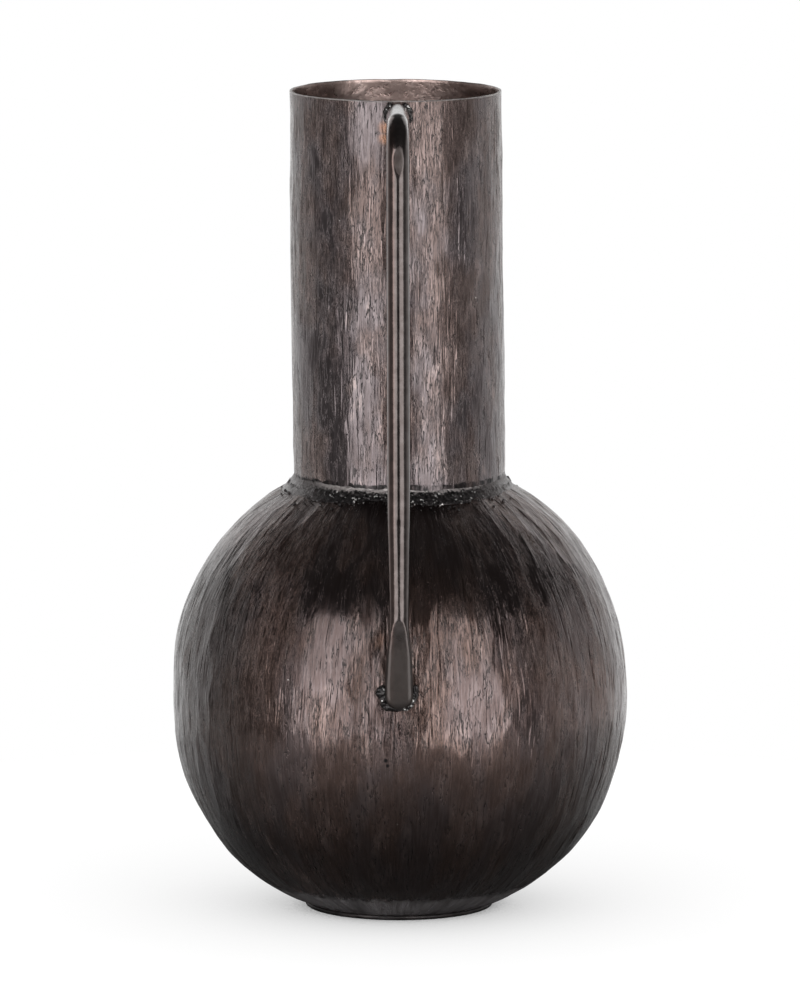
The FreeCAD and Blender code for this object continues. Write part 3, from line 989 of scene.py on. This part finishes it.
def bead_tube(line, sizes, seed):
    """Points and faces of a lumpy bead with closed ends, along points (mm) with a radius at each."""
    columns, spacing = 40, 0.28
    rng = np.random.default_rng(seed)
    line, sizes = np.array(line, float), np.array(sizes, float)
    run = np.concatenate([[0], np.cumsum(np.linalg.norm(np.diff(line, axis=0), axis=1))])
    count = max(24, int(run[-1] / spacing))
    at = np.linspace(0, run[-1], count)
    line = np.stack([np.interp(at, run, line[:, k]) for k in range(3)], -1)
    sizes = np.interp(at, run, sizes)
    tangent = np.gradient(line, axis=0)
    tangent /= np.linalg.norm(tangent, axis=1)[:, None]
    first = np.cross(tangent, [0.0, 1.0, 0.0])
    first /= np.linalg.norm(first, axis=1)[:, None]
    second = np.cross(tangent, first)
    theta = (np.arange(columns) / columns * TURN)[None, :, None]
    relief = 1 + noises(rng, (count, columns), (spacing, 0.25), (0.20, (2.4, 2.4)), (0.09, (0.9, 0.9)))
    from_end = np.minimum(at, run[-1] - at) / (sizes + 1e-6)
    cap = np.sqrt(np.clip(1 - np.clip(1 - from_end, 0, 1) ** 2, 0.02, 1))
    size = sizes[:, None] * cap[:, None] * np.clip(relief, 0.5, 1.6)
    spoke = np.cos(theta) * first[:, None, :] + np.sin(theta) * second[:, None, :]
    rings = line[:, None, :] + size[..., None] * spoke
    points = np.concatenate([rings.reshape(-1, 3), line[:1], line[-1:]])
    faces = grid_faces(count, columns) + fan_faces(count * columns, 0, columns, True)
    return points, faces + fan_faces(count * columns + 1, (count - 1) * columns, columns)


def turned(points, side):
    """Points of a front piece, or the same turned to the rear."""
    return leaned(points, side) if side < 0 else points * np.array([-1, -1, 1])


def make_handle_welds(name, side, rod_height, top_seed, foot_seed):
    """Beads at the root of a handle on the neck and round its foot on the bowl."""
    top_radius = rod_radius * 1.05
    line, sizes = [], []
    for a in np.radians(np.linspace(-245, 65, 60)):
        z = min(rod_height + top_radius * math.sin(a), overall_height - 1.2)
        line.append((top_radius * math.cos(a), -(neck_radius + 0.2), z))
        sizes.append(1.0 + 0.35 * math.sin(5 * a) ** 2)
    points, faces = bead_tube(line, sizes, top_seed)
    points[:, 2] = np.minimum(points[:, 2], overall_height - 0.1)
    points = turned(points, side)
    make_piece(name + "_top_bead", points, faces, weld_lacquer, [name + "_top_weld"])
    foot_radius = foot_end_radius + 0.3
    centre = foot_bottom + foot_end_radius
    left = math.radians(165)
    line, sizes = [], []
    for a in np.radians(np.linspace(-205, 25, 70)):
        x, z = foot_radius * math.cos(a), centre + foot_radius * math.sin(a)
        line.append((x, -math.sqrt(float(bowl_radius_at(z)) ** 2 - x * x) - 0.4, z))
        sizes.append(1.05 + 1.3 * max(0.0, math.cos(a + left)) ** 1.5 + 0.22 * math.sin(5 * a))
    points, faces = bead_tube(line, sizes, foot_seed)
    points = turned(points, side)
    make_piece(name + "_foot_bead", points, faces, weld_lacquer, [name + "_foot_weld"])


make_bowl()
make_neck()
make_neck_weld()
make_inner_welds()
make_base()
for name, side, rod_height, rod_seed, *weld_seeds in handles:
    make_handle(name, side, rod_height, rod_seed)
    make_handle_welds(name, side, rod_height, *weld_seeds)

# Studio

floor_radius = 0.42

# How strongly the floor darkens near the vase, in reflections and as the camera sees it
contact_reflected, contact_seen = 8.0, 0.26

# Softboxes: place, azimuth from the front, distance, heights of their edges, width in degrees, radiance
softboxes = (("front", 31, 1.25, -0.32, 1.02, 38, 3.3), ("rear", 148, 1.4, 0.45, 1.5, 28, 0.8))

# Camera, matched to the photograph
camera_lens = 363.84
camera_place = (0.000315, -4.5, 0.84342)
camera_pitch = 8.331


def make_floor():
    """Plain pale floor, which keeps the shadow and runs out into the white of the surroundings."""
    count = 96
    mesh = bpy.data.meshes.new("floor")
    mesh.from_pydata(ring_points([floor_radius], [0.0], count).tolist(), [], [list(range(count))])
    g = Graph("floor_paper")
    place = g.node("NewGeometry")
    away = g.length(place)
    camera, seen = g.looking_rays()
    open_sky = g.node("AmbientOcclusion", {"Distance": 0.25, "Color": (1, 1, 1, 1)}, 1, samples=8)
    contact = g.math("SUBTRACT", contact_reflected, g.product(camera, contact_reflected - contact_seen))
    glow = g.product(g.span(away, 0.2, 0.4, 0.94, 1.0), g.math("POWER", open_sky, contact))
    glow = g.product(glow, g.add(g.product(camera, 0.4), 0.6), seen)
    diffuse = g.node("BsdfDiffuse", {"Color": (0.15, 0.15, 0.15, 1)})
    emission = g.node("Emission", {"Color": (1, 1, 1, 1), "Strength": glow})
    mesh.materials.append(g.finish(g.node("AddShader", {0: diffuse, 1: emission})))
    new_object("floor", mesh)


def make_world():
    """White for the camera; in reflections, white behind the vase and a dim room in front and above."""
    g = Graph("surroundings", world=True)
    x, y, z = g.separate(g.node("TexCoord"))
    late = g.span(x, -0.6, -0.1, 0.30, 0.0)
    behind = g.span(g.math("SUBTRACT", y, late), -0.25, 0.35)
    low = g.product(g.span(z, 0.14, 0.48, 1.0, 0.0), g.span(z, -0.50, -0.15, 0.2, 1.0))
    sideways, upright = g.math("ABSOLUTE", x), g.math("ABSOLUTE", z)
    beside = g.product(g.span(sideways, 0.35, 0.75), g.span(upright, 0.12, 0.42, 0.24, 0.0))
    level = g.math("ADD", g.product(behind, low, 0.90), g.math("ADD", beside, 0.10), clamp=True)
    camera, seen = g.looking_rays()
    strength = g.node("Mix", {0: seen, 2: 0.45, 3: g.math("MAXIMUM", level, camera)}, data_type="FLOAT")
    bpy.context.scene.world = g.finish(g.node("Background", {"Color": (1, 1, 1, 1), "Strength": strength}))


def make_lamp(name, azimuth, distance, low, high, spread, radiance):
    """Upright softbox; azimuth and spread (its width) are in degrees, low and high its edges' heights."""
    width = 2 * distance * math.tan(math.radians(spread) / 2)
    data = bpy.data.lights.new(name, "AREA")
    data.shape = "RECTANGLE"
    data.size, data.size_y = width, high - low
    data.energy = radiance * math.pi * width * (high - low)
    lamp = new_object(name, data)
    a = math.radians(azimuth)
    lamp.location = (distance * math.sin(a), -distance * math.cos(a), (low + high) / 2)
    lamp.rotation_euler = (math.pi / 2, 0, a)
    lamp.visible_camera = False


def make_camera():
    """Long lens at the photograph's height and angle."""
    data = bpy.data.cameras.new("camera")
    data.sensor_fit = "VERTICAL"
    data.sensor_height = 36.0
    data.lens = camera_lens
    data.clip_start, data.clip_end = 0.1, 60.0
    camera = new_object("camera", data)
    camera.location = camera_place
    camera.rotation_euler = (math.radians(90 - camera_pitch), 0, 0)
    bpy.context.scene.camera = camera


make_floor()
make_world()
for sign, word in ((-1, "left"), (1, "right")):
    for place, azimuth, *rest in softboxes:
        make_lamp("softbox_" + place + "_" + word, sign * azimuth, *rest)
make_camera()

scene = bpy.context.scene
scene.view_settings.view_transform = "Standard"
